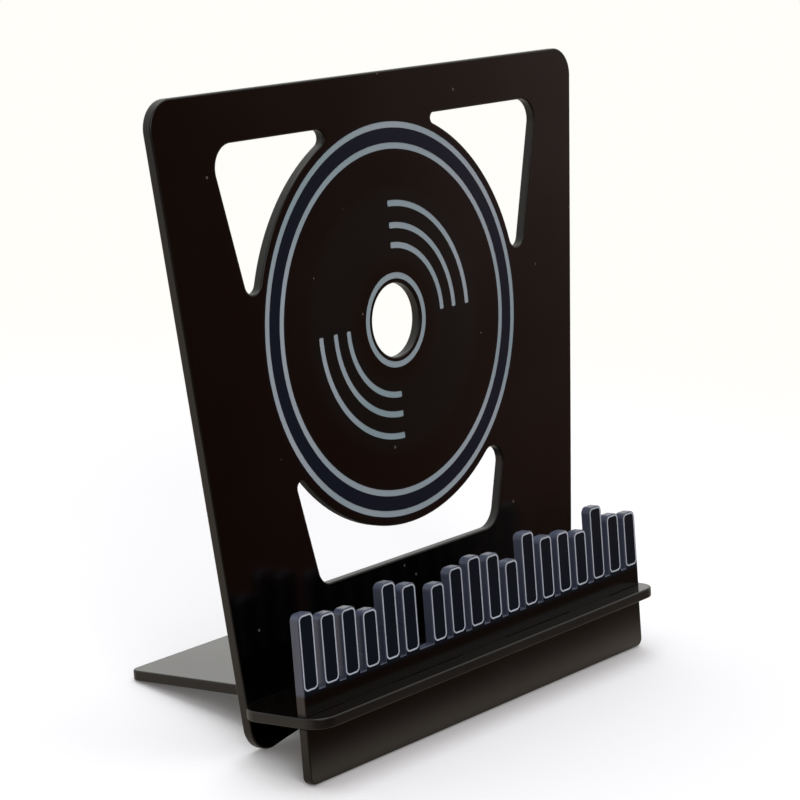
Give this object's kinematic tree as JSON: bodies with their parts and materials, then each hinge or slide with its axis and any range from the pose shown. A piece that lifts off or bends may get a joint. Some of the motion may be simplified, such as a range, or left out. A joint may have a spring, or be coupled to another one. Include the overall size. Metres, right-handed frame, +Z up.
{
  "type": "record display stand",
  "caption": "Slot-together stand that leans a record cover back: keystone panel with a disc motif, shelf whose tail is the rear leg, bar-topped crest and apron foot.",
  "frame": {"origin": "middle of the footprint box, on the ground", "axes": "+Z up, front of the stand towards -Y, +X to the viewer's right across the panel"},
  "size_m": [0.2378, 0.1106, 0.2234],
  "materials": {
    "black_sheet": "satin black sheet with softly rounded, slightly paler cut edges",
    "pale_line": "matt light grey fill in the engraved lines"
  },
  "bodies": {
    "root": {"back_panel": "black_sheet", "shelf_plate": "black_sheet", "crest_plate": "black_sheet", "apron_plate": "black_sheet", "disc_lines": "pale_line", "crest_lines": "pale_line"}
  },
  "joints": []
}
